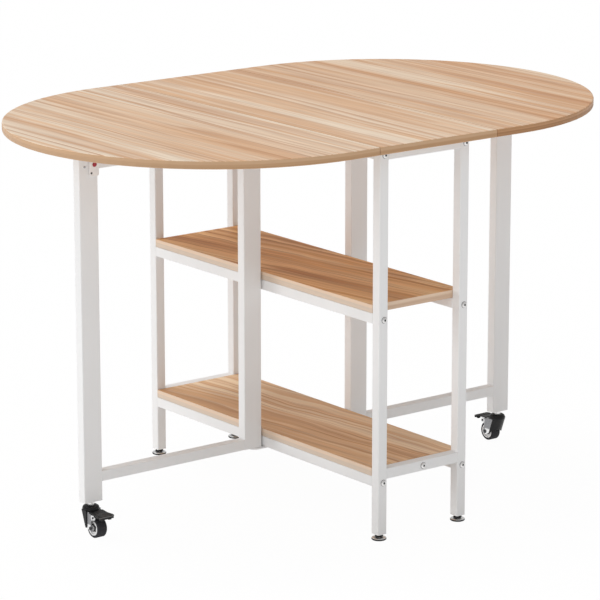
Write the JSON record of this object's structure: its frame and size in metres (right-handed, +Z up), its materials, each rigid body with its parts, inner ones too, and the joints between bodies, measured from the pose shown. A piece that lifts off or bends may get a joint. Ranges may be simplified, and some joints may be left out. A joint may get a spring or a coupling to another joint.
{
  "type": "folding dining table",
  "caption": "Gate-leg dining table with an oval drop-leaf top, a steel rack with wooden shelves, and gates on braked swivel casters that swing out under the leaves.",
  "frame": {"origin": "on the floor under the middle of the top", "axes": "+X along the table, across the seams of the leaves, +Y along the seams, +Z up"},
  "size_m": [1.2, 0.8, 0.75],
  "materials": {
    "oak_top": "satin light oak",
    "oak_shelf": "satin oak",
    "white_paint": "satin white powder coat",
    "bright_steel": "bright zinc",
    "black_plastic": "satin black",
    "tyre_rubber": "matte black",
    "hub_plastic": "light grey",
    "pedal_steel": "dark grey",
    "catch_plastic": "light grey",
    "red_plastic": "red"
  },
  "bodies": {
    "rack": {"centre_panel": "oak_top", "shelf_upper": "oak_shelf", "shelf_lower": "oak_shelf", "post_front_left": "white_paint", "post_back_left": "white_paint", "post_front_right": "white_paint", "post_back_right": "white_paint", "end_rail_top_front": "white_paint", "end_rail_top_back": "white_paint", "end_rail_lower_front": "white_paint", "end_rail_lower_back": "white_paint", "long_rail_top_left": "white_paint", "long_rail_top_right": "white_paint", "long_rail_upper_left": "white_paint", "long_rail_upper_right": "white_paint", "long_rail_lower_left": "white_paint", "long_rail_lower_right": "white_paint", "pivot_tab_lower_left": "white_paint", "pivot_tab_upper_left": "white_paint", "pivot_tab_lower_right": "white_paint", "pivot_tab_upper_right": "white_paint", "hinge_fixed_left_a": "bright_steel", "hinge_fixed_left_b": "bright_steel", "hinge_fixed_right_a": "bright_steel", "hinge_fixed_right_b": "bright_steel"},
    "left_leaf": {"leaf_left": "oak_top", "hinge_moving_left_a": "bright_steel", "hinge_moving_left_b": "bright_steel"},
    "right_leaf": {"leaf_right": "oak_top", "hinge_moving_right_a": "bright_steel", "hinge_moving_right_b": "bright_steel"},
    "left_gate": {"gate_inner_leg_left": "white_paint", "gate_outer_leg_left": "white_paint", "gate_top_rail_left": "white_paint", "gate_bottom_rail_left": "white_paint", "catch_body_left": "catch_plastic", "caster_stem_left": "bright_steel"},
    "right_gate": {"gate_inner_leg_right": "white_paint", "gate_outer_leg_right": "white_paint", "gate_top_rail_right": "white_paint", "gate_bottom_rail_right": "white_paint", "catch_body_right": "catch_plastic", "caster_stem_right": "bright_steel"},
    "left_button": {"catch_button_left": "red_plastic"},
    "right_button": {"catch_button_right": "red_plastic"},
    "left_caster": {"caster_fork_left": "bright_steel", "caster_shroud_left": "black_plastic"},
    "right_caster": {"caster_fork_right": "bright_steel", "caster_shroud_right": "black_plastic"},
    "left_wheel": {"caster_tyre_left": "tyre_rubber", "caster_hub_left": "hub_plastic"},
    "right_wheel": {"caster_tyre_right": "tyre_rubber", "caster_hub_right": "hub_plastic"},
    "left_pedal": {"brake_pedal_left": "pedal_steel"},
    "right_pedal": {"brake_pedal_right": "pedal_steel"},
    "front_left_foot": {"foot_front_left": "bright_steel"},
    "back_left_foot": {"foot_back_left": "bright_steel"},
    "front_right_foot": {"foot_front_right": "bright_steel"},
    "back_right_foot": {"foot_back_right": "bright_steel"}
  },
  "joints": [
    {"name": "left_leaf_hinge", "type": "hinge", "parent": "rack", "child": "left_leaf", "pos_m": [-0.1375, 0, 0.7313], "axis": [0, 1, 0], "range_deg": [0, 2.5]},
    {"name": "right_leaf_hinge", "type": "hinge", "parent": "rack", "child": "right_leaf", "pos_m": [0.1375, 0, 0.7313], "axis": [0, -1, 0], "range_deg": [0, 2.5]},
    {"name": "left_gate_swing", "type": "hinge", "parent": "rack", "child": "left_gate", "pos_m": [-0.11902, 0, 0.4], "axis": [0, 0, -1], "range_deg": [0, 90]},
    {"name": "right_gate_swing", "type": "hinge", "parent": "rack", "child": "right_gate", "pos_m": [0.11902, 0, 0.4], "axis": [0, 0, -1], "range_deg": [0, 90]},
    {"name": "left_button_press", "type": "slide", "parent": "left_gate", "child": "left_button", "axis": [0, 1, 0], "range_m": [0, 0.0012], "stiffness_N_per_m": 400},
    {"name": "right_button_press", "type": "slide", "parent": "right_gate", "child": "right_button", "axis": [0, -1, 0], "range_m": [0, 0.0012], "stiffness_N_per_m": 400},
    {"name": "left_caster_swivel", "type": "hinge", "parent": "left_gate", "child": "left_caster", "pos_m": [-0.498, 0, 0.05], "axis": [0, 0, 1], "continuous": true},
    {"name": "right_caster_swivel", "type": "hinge", "parent": "right_gate", "child": "right_caster", "pos_m": [0.498, 0, 0.05], "axis": [0, 0, 1], "continuous": true},
    {"name": "left_wheel_spin", "type": "hinge", "parent": "left_caster", "child": "left_wheel", "pos_m": [-0.498, -0.02, 0.019], "axis": [1, 0, 0], "continuous": true},
    {"name": "right_wheel_spin", "type": "hinge", "parent": "right_caster", "child": "right_wheel", "pos_m": [0.498, 0.02, 0.019], "axis": [1, 0, 0], "continuous": true},
    {"name": "left_pedal_press", "type": "hinge", "parent": "left_caster", "child": "left_pedal", "pos_m": [-0.498, -0.028, 0.041], "axis": [1, 0, 0], "range_deg": [0, 8]},
    {"name": "right_pedal_press", "type": "hinge", "parent": "right_caster", "child": "right_pedal", "pos_m": [0.498, 0.028, 0.041], "axis": [-1, 0, 0], "range_deg": [0, 8]},
    {"name": "front_left_foot_turn", "type": "hinge", "parent": "rack", "child": "front_left_foot", "pos_m": [-0.095, -0.35, 0], "axis": [0, 0, 1], "continuous": true},
    {"name": "back_left_foot_turn", "type": "hinge", "parent": "rack", "child": "back_left_foot", "pos_m": [-0.095, 0.35, 0], "axis": [0, 0, 1], "continuous": true},
    {"name": "front_right_foot_turn", "type": "hinge", "parent": "rack", "child": "front_right_foot", "pos_m": [0.095, -0.35, 0], "axis": [0, 0, 1], "continuous": true},
    {"name": "back_right_foot_turn", "type": "hinge", "parent": "rack", "child": "back_right_foot", "pos_m": [0.095, 0.35, 0], "axis": [0, 0, 1], "continuous": true}
  ]
}
